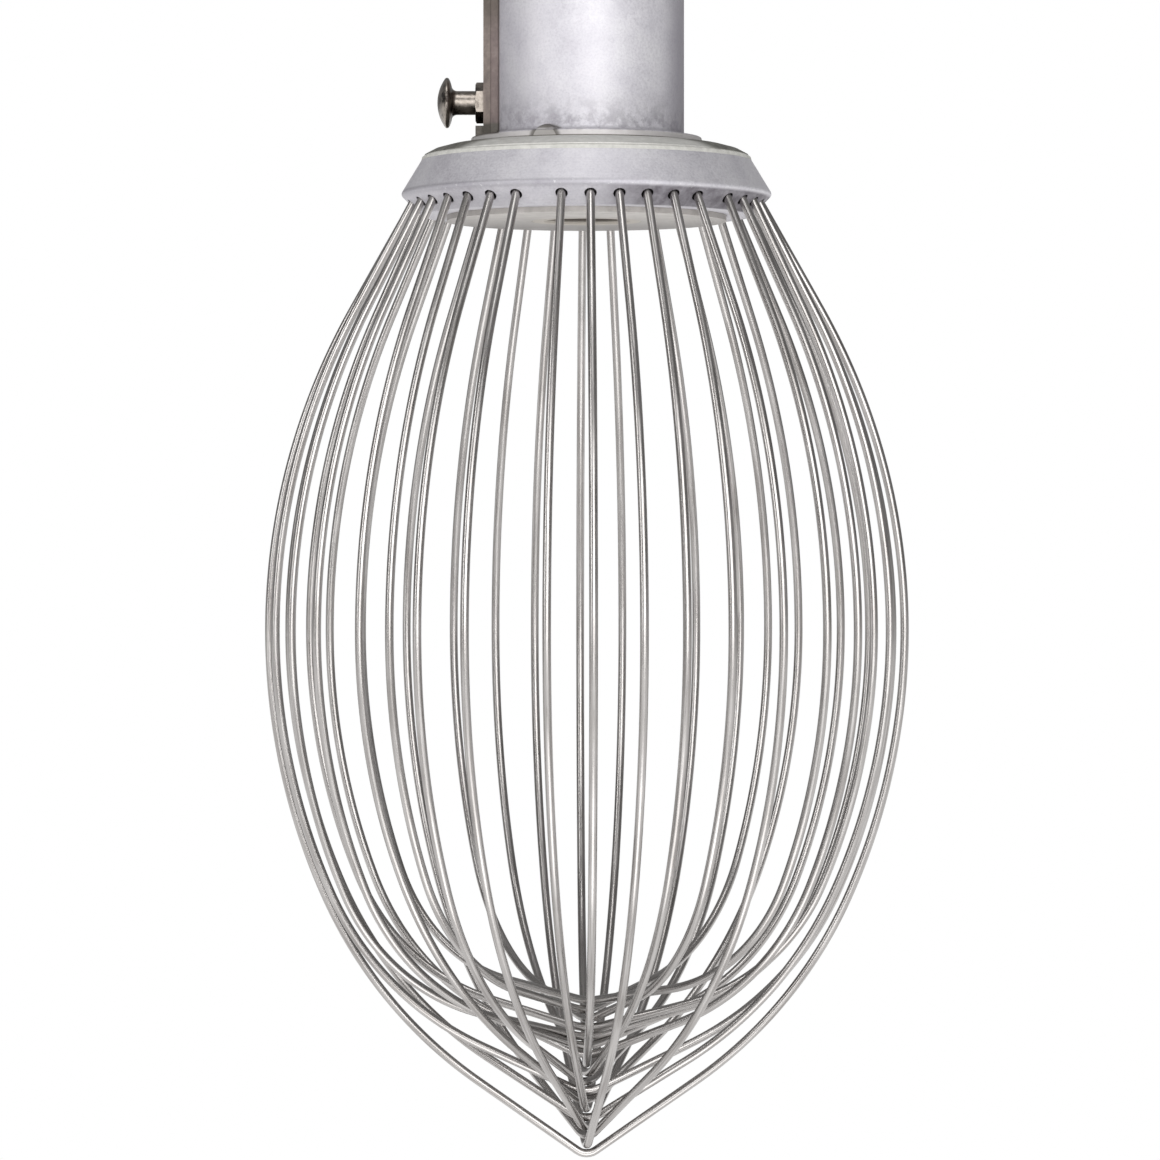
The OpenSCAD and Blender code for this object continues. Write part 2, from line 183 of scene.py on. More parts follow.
def tumbled_skin(tree, place, height):
    """The bare casting: clouds about 10 mm across, 1 mm grain, and on the flange the traces of turning."""
    clouds = add(tree, "ShaderNodeTexNoise", (-2000, 500),
                 {"Vector": place, "Scale": 55.0, "Detail": 5.0, "Roughness": 0.6}).outputs["Fac"]
    tone = add(tree, "ShaderNodeValToRGB", (-1750, 500), {"Fac": clouds},
               stops=[(0.28, "b6b3ba"), (0.42, "bfbdc3"), (0.56, "c7c5ca"),
                      (0.75, "cdcccf")]).outputs["Color"]
    grain = add(tree, "ShaderNodeTexNoise", (-2000, 250),
                {"Vector": place, "Scale": 900.0, "Detail": 3.0, "Roughness": 0.65}).outputs["Fac"]
    speck = add(tree, "ShaderNodeValToRGB", (-1750, 250), {"Fac": grain},
                stops=[(0.34, "8f8c93"), (0.5, "c8c6ca"), (0.66, "e6e5e6")]).outputs["Color"]
    tone = add(tree, "ShaderNodeMix", (-1450, 400), {0: 0.22, 6: tone, 7: speck},
               data_type="RGBA").outputs[2]

    # Faint rings left by turning, on the flange alone.
    by_height = add(tree, "ShaderNodeCombineXYZ", (-2200, 0), {2: height}).outputs[0]
    rings = add(tree, "ShaderNodeTexNoise", (-2000, 0),
                {"Vector": by_height, "Scale": 1600.0, "Detail": 2.0}).outputs["Fac"]
    on_flange = add(tree, "ShaderNodeMapRange", (-1750, -50),
                    {"Value": height, "From Min": -0.5 * MM, "From Max": -4 * MM},
                    interpolation_type="SMOOTHSTEP").outputs[0]
    flange_share = add(tree, "ShaderNodeMath", (-1500, -50), {0: on_flange, 1: 0.08},
                       operation="MULTIPLY").outputs[0]
    ring_tone = add(tree, "ShaderNodeValToRGB", (-1750, 80), {"Fac": rings},
                    stops=[(0.3, "9b999f"), (0.7, "dedddf")]).outputs["Color"]
    tone = add(tree, "ShaderNodeMix", (-1250, 300), {0: flange_share, 6: tone, 7: ring_tone},
               data_type="RGBA").outputs[2]
    return tone, grain


def barrel_stains_and_shade(tree, tone, across, height, reach, patch):
    """The barrel's and the ring's stains, from washing and handling, and painted shade on the barrel's
    sides, in the corner above the ring and along the ring's foot.
    """
    # A dark, patchy tidemark above the ring, and painted shade in the corner between the two.
    near_ring = add(tree, "ShaderNodeMapRange", (-1750, -700),
                    {"Value": height, "From Min": 22 * MM, "From Max": 0},
                    interpolation_type="SMOOTHSTEP").outputs[0]
    over_ring = add(tree, "ShaderNodeMapRange", (-1750, -850),
                    {"Value": height, "From Min": -3 * MM, "From Max": 0},
                    interpolation_type="SMOOTHSTEP").outputs[0]
    low_wall = add(tree, "ShaderNodeMath", (-1550, -750), {0: near_ring, 1: over_ring},
                   operation="MULTIPLY").outputs[0]
    blotches = add(tree, "ShaderNodeMapRange", (-1750, -1000),
                   {"Value": patch, "From Min": 0.42, "From Max": 0.62},
                   interpolation_type="SMOOTHSTEP").outputs[0]
    stain = add(tree, "ShaderNodeMath", (-1350, -800), {0: low_wall, 1: blotches},
                operation="MULTIPLY").outputs[0]
    low_down = add(tree, "ShaderNodeMapRange", (-1750, -1150),
                   {"Value": height, "From Min": 2.6 * MM, "From Max": 0.2 * MM},
                   interpolation_type="SMOOTHSTEP").outputs[0]
    not_below = add(tree, "ShaderNodeMapRange", (-1750, -1300),
                    {"Value": height, "From Min": -1.2 * MM, "From Max": -0.2 * MM},
                    interpolation_type="SMOOTHSTEP").outputs[0]
    corner = add(tree, "ShaderNodeMath", (-1550, -1200), {0: low_down, 1: not_below},
                 operation="MULTIPLY").outputs[0]
    by_barrel = add(tree, "ShaderNodeMapRange", (-1750, -1450),
                    {"Value": reach, "From Min": 52.5 * MM, "From Max": 50 * MM},
                    interpolation_type="SMOOTHSTEP").outputs[0]
    ring_gap_shade = add(tree, "ShaderNodeMath", (-1350, -1250), {0: corner, 1: by_barrel},
                   operation="MULTIPLY").outputs[0]
    stain_share = add(tree, "ShaderNodeMath", (-1150, -850), {0: stain, 1: 0.42},
                      operation="MULTIPLY").outputs[0]
    gap_shade_share = add(tree, "ShaderNodeMath", (-1150, -1250), {0: ring_gap_shade, 1: 0.35},
                    operation="MULTIPLY").outputs[0]
    stain_and_gap_shade = add(tree, "ShaderNodeMath", (-950, -1000), {0: stain_share, 1: gap_shade_share},
               operation="MAXIMUM").outputs[0]
    tone = add(tree, "ShaderNodeMix", (-950, 200), {0: stain_and_gap_shade, 6: tone, 7: srgb("57525a")},
               data_type="RGBA").outputs[2]

    # Painted shade: the barrel is darker towards the +X side, and a little so beside the pad.
    on_barrel = add(tree, "ShaderNodeMapRange", (-1750, -5200),
                    {"Value": height, "From Min": -0.5 * MM, "From Max": 1.5 * MM},
                    interpolation_type="SMOOTHSTEP").outputs[0]
    far_side_shade = add(tree, "ShaderNodeMapRange", (-1750, -5400),
                   {"Value": across, "From Min": 33 * MM, "From Max": 46.5 * MM, "To Max": 0.62},
                   interpolation_type="SMOOTHSTEP").outputs[0]
    pad_side_shade = add(tree, "ShaderNodeMapRange", (-1750, -5600),
                   {"Value": across, "From Min": -12 * MM, "From Max": -34 * MM, "To Max": 0.22},
                   interpolation_type="SMOOTHSTEP").outputs[0]
    side_shade = add(tree, "ShaderNodeMath", (-1550, -5500), {0: far_side_shade, 1: pad_side_shade},
                 operation="MAXIMUM").outputs[0]
    side_shade = add(tree, "ShaderNodeMath", (-1350, -5300), {0: on_barrel, 1: side_shade},
                 operation="MULTIPLY").outputs[0]
    tone = add(tree, "ShaderNodeMix", (-930, 190), {0: side_shade, 6: tone, 7: srgb("6b6670")},
               data_type="RGBA").outputs[2]

    # The ring's side, a little warmer than the barrel, with a dark line of painted shadow along its foot.
    below_top = add(tree, "ShaderNodeMapRange", (-1750, -5800),
                    {"Value": height, "From Min": -0.2 * MM, "From Max": -0.8 * MM},
                    interpolation_type="SMOOTHSTEP").outputs[0]
    above_foot = add(tree, "ShaderNodeMapRange", (-1750, -6000),
                     {"Value": height, "From Min": -4 * MM, "From Max": -3.6 * MM},
                     interpolation_type="SMOOTHSTEP").outputs[0]
    on_ring = add(tree, "ShaderNodeMath", (-1550, -5900), {0: below_top, 1: above_foot},
                  operation="MULTIPLY").outputs[0]
    warmth = add(tree, "ShaderNodeMath", (-1350, -5900), {0: on_ring, 1: 0.6},
                 operation="MULTIPLY").outputs[0]
    tone = add(tree, "ShaderNodeMix", (-920, 185), {0: warmth, 6: tone, 7: srgb("c8c4c0")},
               data_type="RGBA").outputs[2]
    foot_shadow_line = add(tree, "ShaderNodeMapRange", (-1550, -6100),
                    {"Value": height, "From Min": -2.5 * MM, "From Max": -3.1 * MM},
                    interpolation_type="SMOOTHSTEP").outputs[0]
    foot_shadow_line = add(tree, "ShaderNodeMath", (-1350, -6100), {0: on_ring, 1: foot_shadow_line},
                    operation="MULTIPLY").outputs[0]
    tone = add(tree, "ShaderNodeMix", (-910, 180), {0: foot_shadow_line, 6: tone, 7: srgb("5e5b52")},
               data_type="RGBA").outputs[2]
    return tone


def lump_grease(tree, tone, place, height):
    """Grease round the cast lump and in its pit."""
    from_lump = add(tree, "ShaderNodeVectorMath", (-1750, -3000), {0: place, 1: LUMP_CENTRE},
                    operation="DISTANCE").outputs["Value"]
    from_pit = add(tree, "ShaderNodeVectorMath", (-1750, -3150), {0: place, 1: PIT_CENTRE},
                   operation="DISTANCE").outputs["Value"]
    off_lump = add(tree, "ShaderNodeMapRange", (-1550, -3000),
                   {"Value": from_lump, "From Min": 6.8 * MM, "From Max": 7.2 * MM},
                   interpolation_type="SMOOTHSTEP").outputs[0]
    close_to_lump = add(tree, "ShaderNodeMapRange", (-1550, -3150),
                        {"Value": from_lump, "From Min": 9.4 * MM, "From Max": 7.6 * MM},
                        interpolation_type="SMOOTHSTEP").outputs[0]
    collar_of_dirt = add(tree, "ShaderNodeMath", (-1350, -3050), {0: off_lump, 1: close_to_lump},
                         operation="MULTIPLY").outputs[0]
    collar_share = add(tree, "ShaderNodeMath", (-1150, -3050), {0: collar_of_dirt, 1: 0.75},
                       operation="MULTIPLY").outputs[0]
    in_pit = add(tree, "ShaderNodeMapRange", (-1350, -3250),
                 {"Value": from_pit, "From Min": 2.1 * MM, "From Max": 1.6 * MM},
                 interpolation_type="SMOOTHSTEP").outputs[0]
    grease = add(tree, "ShaderNodeMath", (-950, -3100), {0: collar_share, 1: in_pit},
                 operation="MAXIMUM").outputs[0]

    # The lump's own skin is darker than the flange, and its rounded top darker again.
    within_lump = add(tree, "ShaderNodeMapRange", (-1550, -3300),
                      {"Value": from_lump, "From Min": 7.5 * MM, "From Max": 7.1 * MM},
                      interpolation_type="SMOOTHSTEP").outputs[0]
    above_flange = add(tree, "ShaderNodeMapRange", (-1550, -3400),
                       {"Value": height, "From Min": -4.5 * MM, "From Max": -2 * MM},
                       interpolation_type="SMOOTHSTEP").outputs[0]
    on_lump = add(tree, "ShaderNodeMath", (-1150, -3300), {0: within_lump, 1: above_flange},
                  operation="MULTIPLY").outputs[0]
    lump_share = add(tree, "ShaderNodeMath", (-950, -3300), {0: on_lump, 1: 0.5},
                     operation="MULTIPLY").outputs[0]
    tone = add(tree, "ShaderNodeMix", (-900, 170), {0: lump_share, 6: tone, 7: srgb("6d6960")},
               data_type="RGBA").outputs[2]
    lump_top = add(tree, "ShaderNodeMapRange", (-1550, -3500),
                   {"Value": height, "From Min": 0.2 * MM, "From Max": 1 * MM},
                   interpolation_type="SMOOTHSTEP").outputs[0]
    cap = add(tree, "ShaderNodeMath", (-950, -3400), {0: on_lump, 1: lump_top},
              operation="MULTIPLY").outputs[0]
    cap_share = add(tree, "ShaderNodeMath", (-750, -3400), {0: cap, 1: 0.7},
                    operation="MULTIPLY").outputs[0]
    grease = add(tree, "ShaderNodeMath", (-750, -3200), {0: grease, 1: cap_share},
                 operation="MAXIMUM").outputs[0]
    tone = add(tree, "ShaderNodeMix", (-850, 150), {0: grease, 6: tone, 7: srgb("4a463f")},
               data_type="RGBA").outputs[2]
    return tone


def pad_grease(tree, tone, across, height, patch):
    """The pad's outer face and the lug, brown with old grease, darker on the flank, top end and foot."""
    outer_face = add(tree, "ShaderNodeMapRange", (-1750, -1600),
                     {"Value": across, "From Min": -40.8 * MM, "From Max": -41.8 * MM},
                     interpolation_type="SMOOTHSTEP").outputs[0]
    above_ring = add(tree, "ShaderNodeMapRange", (-1750, -1750),
                     {"Value": height, "From Min": -1.2 * MM, "From Max": 0},
                     interpolation_type="SMOOTHSTEP").outputs[0]
    brown = add(tree, "ShaderNodeMath", (-1550, -1650), {0: outer_face, 1: above_ring},
                operation="MULTIPLY").outputs[0]
    brown_tone = add(tree, "ShaderNodeValToRGB", (-1350, -1700), {"Fac": patch},
                     stops=[(0.3, "5c5048"), (0.52, "85776d"), (0.72, "a3968c")]).outputs["Color"]
    brown_share = add(tree, "ShaderNodeMath", (-1150, -1650), {0: brown, 1: 0.85},
                      operation="MULTIPLY").outputs[0]
    tone = add(tree, "ShaderNodeMix", (-700, 100), {0: brown_share, 6: tone, 7: brown_tone},
               data_type="RGBA").outputs[2]

    # The flank between the outer face and the barrel is darker still.
    inner_part = add(tree, "ShaderNodeMapRange", (-1350, -4100),
                     {"Value": across, "From Min": -46 * MM, "From Max": -45.2 * MM},
                     interpolation_type="SMOOTHSTEP").outputs[0]
    flank = add(tree, "ShaderNodeMath", (-1150, -4100), {0: brown, 1: inner_part},
                operation="MULTIPLY").outputs[0]
    flank_share = add(tree, "ShaderNodeMath", (-950, -4100), {0: flank, 1: 0.62},
                      operation="MULTIPLY").outputs[0]
    tone = add(tree, "ShaderNodeMix", (-600, 100), {0: flank_share, 6: tone, 7: srgb("4f4345")},
               data_type="RGBA").outputs[2]

    # The upper end is the darkest.
    top_end = add(tree, "ShaderNodeMapRange", (-1350, -6300),
                  {"Value": height, "From Min": 44 * MM, "From Max": 62 * MM, "To Max": 0.55},
                  interpolation_type="SMOOTHSTEP").outputs[0]
    top_end = add(tree, "ShaderNodeMath", (-1150, -6300), {0: brown, 1: top_end},
                  operation="MULTIPLY").outputs[0]
    tone = add(tree, "ShaderNodeMix", (-550, 100), {0: top_end, 6: tone, 7: srgb("47433a")},
               data_type="RGBA").outputs[2]

    # The lug at the pad's foot is grey-brown.
    low_end = add(tree, "ShaderNodeMapRange", (-1350, -1900),
                  {"Value": height, "From Min": 6.5 * MM, "From Max": 4.5 * MM},
                  interpolation_type="SMOOTHSTEP").outputs[0]
    foot = add(tree, "ShaderNodeMath", (-1150, -1900), {0: brown, 1: low_end},
               operation="MULTIPLY").outputs[0]
    foot_share = add(tree, "ShaderNodeMath", (-950, -1900), {0: foot, 1: 0.85},
                     operation="MULTIPLY").outputs[0]
    tone = add(tree, "ShaderNodeMix", (-500, 100), {0: foot_share, 6: tone, 7: srgb("4e4c47")},
               data_type="RGBA").outputs[2]
    return tone


def socket_shade(tree, tone, height, reach):
    """The socket's inside, painted shade that darkens with depth, and lighter near its lower opening."""
    inside = add(tree, "ShaderNodeMapRange", (-1750, -2050),
                 {"Value": reach, "From Min": 23 * MM, "From Max": 22.2 * MM},
                 interpolation_type="SMOOTHSTEP").outputs[0]
    shade_by_depth = add(tree, "ShaderNodeMapRange", (-1750, -2120),
                {"Value": height, "From Min": -39.5 * MM, "From Max": -30 * MM},
                interpolation_type="SMOOTHSTEP").outputs[0]
    dark = add(tree, "ShaderNodeValToRGB", (-1550, -2100), {"Fac": shade_by_depth},
               stops=[(0.0, "77706a"), (1.0, "2c2826")]).outputs["Color"]
    tone = add(tree, "ShaderNodeMix", (-300, 100), {0: inside, 6: tone, 7: dark},
               data_type="RGBA").outputs[2]
    return tone


def bevel_shade_and_stains(tree, tone, across, height, reach, patch):
    """The bevel, painted darker as shade, in patches and most of all on the +X side."""
    under_corner = add(tree, "ShaderNodeMapRange", (-1750, -3400),
                       {"Value": height, "From Min": -27.8 * MM, "From Max": -29.2 * MM},
                       interpolation_type="SMOOTHSTEP").outputs[0]
    above_base = add(tree, "ShaderNodeMapRange", (-1750, -3550),
                     {"Value": height, "From Min": -37.6 * MM, "From Max": -36.8 * MM},
                     interpolation_type="SMOOTHSTEP").outputs[0]
    on_bevel = add(tree, "ShaderNodeMath", (-1550, -3450), {0: under_corner, 1: above_base},
                   operation="MULTIPLY").outputs[0]
    outside_base = add(tree, "ShaderNodeMapRange", (-1750, -3700),
                       {"Value": reach, "From Min": 76.5 * MM, "From Max": 78.5 * MM},
                       interpolation_type="SMOOTHSTEP").outputs[0]
    on_bevel = add(tree, "ShaderNodeMath", (-1350, -3500), {0: on_bevel, 1: outside_base},
                   operation="MULTIPLY").outputs[0]
    # Painted shade: the bevel darker the further it lies towards +X.
    sideways = add(tree, "ShaderNodeMapRange", (-1350, -3700),
                   {"Value": across, "From Min": 0, "From Max": 30 * MM, "To Min": 0.14,
                    "To Max": 0.95}).outputs[0]
    uneven = add(tree, "ShaderNodeMapRange", (-1350, -3900),
                 {"Value": patch, "From Min": 0.3, "From Max": 0.7, "To Min": 0.6,
                  "To Max": 1.2}).outputs[0]
    strength = add(tree, "ShaderNodeMath", (-1150, -3750), {0: sideways, 1: uneven},
                   operation="MULTIPLY").outputs[0]
    darkening = add(tree, "ShaderNodeMath", (-950, -3500), {0: on_bevel, 1: strength},
               operation="MULTIPLY").outputs[0]
    tone = add(tree, "ShaderNodeMix", (-200, 100), {0: darkening, 6: tone, 7: srgb("6e6a70")},
               data_type="RGBA").outputs[2]

    # The spigot's foot, flush with the base plate, is stained as warm as the plate.
    by_socket = add(tree, "ShaderNodeMapRange", (-1750, -4250),
                    {"Value": reach, "From Min": 28 * MM, "From Max": 27.5 * MM},
                    interpolation_type="SMOOTHSTEP").outputs[0]
    at_foot = add(tree, "ShaderNodeMapRange", (-1750, -4400),
                  {"Value": height, "From Min": -38 * MM, "From Max": -38.6 * MM},
                  interpolation_type="SMOOTHSTEP").outputs[0]
    foot_ring = add(tree, "ShaderNodeMath", (-1550, -4300), {0: by_socket, 1: at_foot},
                    operation="MULTIPLY").outputs[0]
    tone = add(tree, "ShaderNodeMix", (-150, 100), {0: foot_ring, 6: tone, 7: srgb("a8a29a")},
               data_type="RGBA").outputs[2]
    return tone


def hole_shade(tree, tone, height, reach):
    """The wires' holes, painted near-black as shade: whatever lies over 0.3 mm behind the bevel's cone."""
    cone = add(tree, "ShaderNodeMath", (-1750, -4550),
               {0: height, 1: BEVEL_LEAN, 2: FLANGE_RADIUS - FLANGE_CORNER * BEVEL_LEAN},
               operation="MULTIPLY_ADD").outputs[0]
    depth_behind = add(tree, "ShaderNodeMath", (-1550, -4550), {0: cone, 1: reach},
                       operation="SUBTRACT").outputs[0]
    behind = add(tree, "ShaderNodeMapRange", (-1350, -4550),
                 {"Value": depth_behind, "From Min": 0.2 * MM, "From Max": 0.6 * MM},
                 interpolation_type="SMOOTHSTEP").outputs[0]
    below_corner = add(tree, "ShaderNodeMapRange", (-1350, -4700),
                       {"Value": height, "From Min": -29 * MM, "From Max": -29.5 * MM},
                       interpolation_type="SMOOTHSTEP").outputs[0]
    behind = add(tree, "ShaderNodeMath", (-1150, -4600), {0: behind, 1: below_corner},
                 operation="MULTIPLY").outputs[0]
    above_base = add(tree, "ShaderNodeMapRange", (-1350, -4850),
                     {"Value": height, "From Min": -37.1 * MM, "From Max": -36.8 * MM},
                     interpolation_type="SMOOTHSTEP").outputs[0]
    behind = add(tree, "ShaderNodeMath", (-950, -4650), {0: behind, 1: above_base},
                 operation="MULTIPLY").outputs[0]
    outside_base = add(tree, "ShaderNodeMapRange", (-1350, -5000),
                       {"Value": reach, "From Min": 70 * MM, "From Max": 72 * MM},
                       interpolation_type="SMOOTHSTEP").outputs[0]
    behind = add(tree, "ShaderNodeMath", (-750, -4700), {0: behind, 1: outside_base},
                 operation="MULTIPLY").outputs[0]
    # Painted shade darkens the holes' insides to near-black.
    hole_shade_share = add(tree, "ShaderNodeMath", (-550, -4700), {0: behind, 1: 0.92},
                     operation="MULTIPLY").outputs[0]
    tone = add(tree, "ShaderNodeMix", (-120, 100), {0: hole_shade_share, 6: tone, 7: srgb("232021")},
               data_type="RGBA").outputs[2]
    return tone


def corner_shade_and_wear(tree, tone, place, across, height):
    """The corner above the holes, painted darker towards -X as shade that dims its highlight there, and
    chipped bright by bowls and the bench.
    """
    chip_noise = add(tree, "ShaderNodeTexNoise", (-2000, -2200),
                     {"Vector": place, "Scale": 420.0, "Detail": 5.0, "Roughness": 0.75}).outputs["Fac"]
    above_holes = add(tree, "ShaderNodeMapRange", (-1750, -2200),
                      {"Value": height, "From Min": -30 * MM, "From Max": -27.8 * MM},
                      interpolation_type="SMOOTHSTEP").outputs[0]
    below_side = add(tree, "ShaderNodeMapRange", (-1750, -2350),
                     {"Value": height, "From Min": -25 * MM, "From Max": -26.4 * MM},
                     interpolation_type="SMOOTHSTEP").outputs[0]
    near_corner = add(tree, "ShaderNodeMath", (-1550, -2250), {0: above_holes, 1: below_side},
                      operation="MULTIPLY").outputs[0]
    chip_spots = add(tree, "ShaderNodeMapRange", (-1750, -2500),
                     {"Value": chip_noise, "From Min": 0.6, "From Max": 0.68},
                     interpolation_type="SMOOTHSTEP").outputs[0]
    chips = add(tree, "ShaderNodeMath", (-1350, -2300), {0: near_corner, 1: chip_spots},
                operation="MULTIPLY").outputs[0]
    # Painted shade: the corner darker towards -X.
    corner_shade = add(tree, "ShaderNodeMapRange", (-1550, -2450),
                 {"Value": across, "From Min": 30 * MM, "From Max": -5 * MM, "To Max": 0.42},
                 interpolation_type="SMOOTHSTEP").outputs[0]
    corner_shade = add(tree, "ShaderNodeMath", (-1350, -2450), {0: near_corner, 1: corner_shade},
                 operation="MULTIPLY").outputs[0]
    tone = add(tree, "ShaderNodeMix", (-110, 100), {0: corner_shade, 6: tone, 7: srgb("77747b")},
               data_type="RGBA").outputs[2]
    chip_share = add(tree, "ShaderNodeMath", (-1150, -2300), {0: chips, 1: 0.45},
                     operation="MULTIPLY").outputs[0]
    tone = add(tree, "ShaderNodeMix", (-100, 100), {0: chip_share, 6: tone, 7: srgb("f1f1f0")},
               data_type="RGBA").outputs[2]
    return tone, chips


def dulled_plate():
    """Pressed aluminium, dulled to dark olive-grey by washing, with pale sealant wiped over its near
    side."""
    material, tree, shader = new_material("dulled_aluminium_plate")
    place = add(tree, "ShaderNodeTexCoord", (-1400, 0)).outputs["Object"]
    cloud = add(tree, "ShaderNodeTexNoise", (-1200, 0),
                {"Vector": place, "Scale": 300.0, "Detail": 6.0, "Roughness": 0.65}).outputs["Fac"]
    metal = add(tree, "ShaderNodeValToRGB", (-900, 100), {"Fac": cloud},
                stops=[(0.35, "4f4e49"), (0.65, "77766f")]).outputs["Color"]
    paste = add(tree, "ShaderNodeValToRGB", (-900, -200), {"Fac": cloud},
                stops=[(0.3, "b0afab"), (0.7, "c6c5c1")]).outputs["Color"]
    across, along, _ = add(tree, "ShaderNodeSeparateXYZ", (-1200, -400), {0: place}).outputs
    unevenness = add(tree, "ShaderNodeMath", (-1000, -500), {0: cloud, 1: 0.012},
                     operation="MULTIPLY").outputs[0]
    ragged = add(tree, "ShaderNodeMath", (-800, -450), {0: along, 1: unevenness},
                 operation="ADD").outputs[0]
    wiped = add(tree, "ShaderNodeMapRange", (-600, -400),
                {"Value": ragged, "From Min": -40 * MM, "From Max": -50 * MM},
                interpolation_type="SMOOTHSTEP").outputs[0]
    tone = add(tree, "ShaderNodeMix", (-400, 100), {0: wiped, 6: metal, 7: paste},
               data_type="RGBA").outputs[2]
    flat = add(tree, "ShaderNodeCombineXYZ", (-1000, -700), {0: across, 1: along}).outputs[0]
    reach = add(tree, "ShaderNodeVectorMath", (-800, -700), {0: flat},
                operation="LENGTH").outputs["Value"]
    # Painted shadow: a dark band on the plate next to the ring's foot.
    by_ring = add(tree, "ShaderNodeMapRange", (-600, -700),
                  {"Value": reach, "From Min": 57.2 * MM, "From Max": 56 * MM},
                  interpolation_type="SMOOTHSTEP").outputs[0]
    ring_shadow_share = add(tree, "ShaderNodeMath", (-400, -700), {0: by_ring, 1: 0.8},
                     operation="MULTIPLY").outputs[0]
    tone = add(tree, "ShaderNodeMix", (-200, 100), {0: ring_shadow_share, 6: tone, 7: srgb("4a4741")},
               data_type="RGBA").outputs[2]
    tree.links.new(tone, shader.inputs["Base Color"])
    rough = add(tree, "ShaderNodeMapRange", (-600, -200), {"Value": cloud, "To Min": 0.4, "To Max": 0.65})
    tree.links.new(rough.outputs["Result"], shader.inputs["Roughness"])
    bump = add(tree, "ShaderNodeBump", (-300, -300),
               {"Strength": 0.3, "Distance": 0.0001, "Height": cloud})
    tree.links.new(bump.outputs["Normal"], shader.inputs["Normal"])
    shader.inputs["Metallic"].default_value = 0.35
    return material


def stained_plate():
    """Turned aluminium, stained warm by food and steam, with painted shade greying it towards +Y, away from
    the light, and rings 1 mm apart."""
    material, tree, shader = new_material("stained_turned_plate")
    place = add(tree, "ShaderNodeTexCoord", (-1600, 0)).outputs["Object"]
    across, along, _ = add(tree, "ShaderNodeSeparateXYZ", (-1400, -300), {0: place}).outputs
    flat = add(tree, "ShaderNodeCombineXYZ", (-1300, -450), {0: across, 1: along}).outputs[0]
    reach = add(tree, "ShaderNodeVectorMath", (-1200, -300), {0: flat},
                operation="LENGTH").outputs["Value"]
    cloud = add(tree, "ShaderNodeTexNoise", (-1200, 0),
                {"Vector": place, "Scale": 110.0, "Detail": 6.0, "Roughness": 0.7}).outputs["Fac"]
    tone = add(tree, "ShaderNodeValToRGB", (-900, 100), {"Fac": cloud},
               stops=[(0.3, "94908d"), (0.5, "b1adaa"), (0.7, "c5c1be")]).outputs["Color"]
    by_reach = add(tree, "ShaderNodeCombineXYZ", (-1000, -450), {0: reach}).outputs[0]
    rings = add(tree, "ShaderNodeTexNoise", (-800, -450),
                {"Vector": by_reach, "Scale": 900.0, "Detail": 2.0, "Roughness": 0.5}).outputs["Fac"]
    ring_tone = add(tree, "ShaderNodeValToRGB", (-600, -450), {"Fac": rings},
                    stops=[(0.3, "8b857c"), (0.7, "d6d1c9")]).outputs["Color"]
    tone = add(tree, "ShaderNodeMix", (-400, 100), {0: 0.25, 6: tone, 7: ring_tone},
               data_type="RGBA").outputs[2]
    # Painted shade: greyer towards +Y.
    far_shade = add(tree, "ShaderNodeMapRange", (-900, -700),
               {"Value": along, "From Min": -45 * MM, "From Max": 40 * MM, "To Max": 0.9}).outputs[0]
    tone = add(tree, "ShaderNodeMix", (-200, 100), {0: far_shade, 6: tone, 7: srgb("797573")},
               data_type="RGBA").outputs[2]
    tree.links.new(tone, shader.inputs["Base Color"])
    rough = add(tree, "ShaderNodeMapRange", (-600, -200),
                {"Value": cloud, "To Min": 0.42, "To Max": 0.68})
    tree.links.new(rough.outputs["Result"], shader.inputs["Roughness"])
    bump = add(tree, "ShaderNodeBump", (-300, -300),
               {"Strength": 0.25, "Distance": 0.0001, "Height": rings})
    tree.links.new(bump.outputs["Normal"], shader.inputs["Normal"])
    shader.inputs["Metallic"].default_value = 0.45
    return material


def worked_metal(name, dark, light, rough_low, rough_high, scale=300.0, metallic=0.9, grime=None):
    """Turned or pressed metal, uneven at about 1/scale metres, with grime in patches where it has any."""
    material, tree, shader = new_material(name)
    place = add(tree, "ShaderNodeTexCoord", (-1400, 0)).outputs["Object"]
    cloud = add(tree, "ShaderNodeTexNoise", (-1200, 0),
                {"Vector": place, "Scale": scale, "Detail": 6.0, "Roughness": 0.65}).outputs["Fac"]
    tone = add(tree, "ShaderNodeValToRGB", (-900, 100), {"Fac": cloud},
               stops=[(0.35, dark), (0.65, light)]).outputs["Color"]
    if grime:
        patch_noise = add(tree, "ShaderNodeTexNoise", (-1200, -300),
                          {"Vector": place, "Scale": scale * 0.45, "Detail": 5.0,
                           "Roughness": 0.7}).outputs["Fac"]
        patches = add(tree, "ShaderNodeMapRange", (-900, -300),
                      {"Value": patch_noise, "From Min": 0.5, "From Max": 0.64},
                      interpolation_type="SMOOTHSTEP").outputs[0]
        tone = add(tree, "ShaderNodeMix", (-500, 100), {0: patches, 6: tone, 7: srgb(grime)},
                   data_type="RGBA").outputs[2]
    tree.links.new(tone, shader.inputs["Base Color"])
    rough = add(tree, "ShaderNodeMapRange", (-700, -200),
                {"Value": cloud, "From Min": 0.3, "From Max": 0.7, "To Min": rough_low,
                 "To Max": rough_high})
    tree.links.new(rough.outputs["Result"], shader.inputs["Roughness"])
    bump = add(tree, "ShaderNodeBump", (-300, -300),
               {"Strength": 0.3, "Distance": 0.0001, "Height": cloud})
    tree.links.new(bump.outputs["Normal"], shader.inputs["Normal"])
    shader.inputs["Metallic"].default_value = metallic
    return material


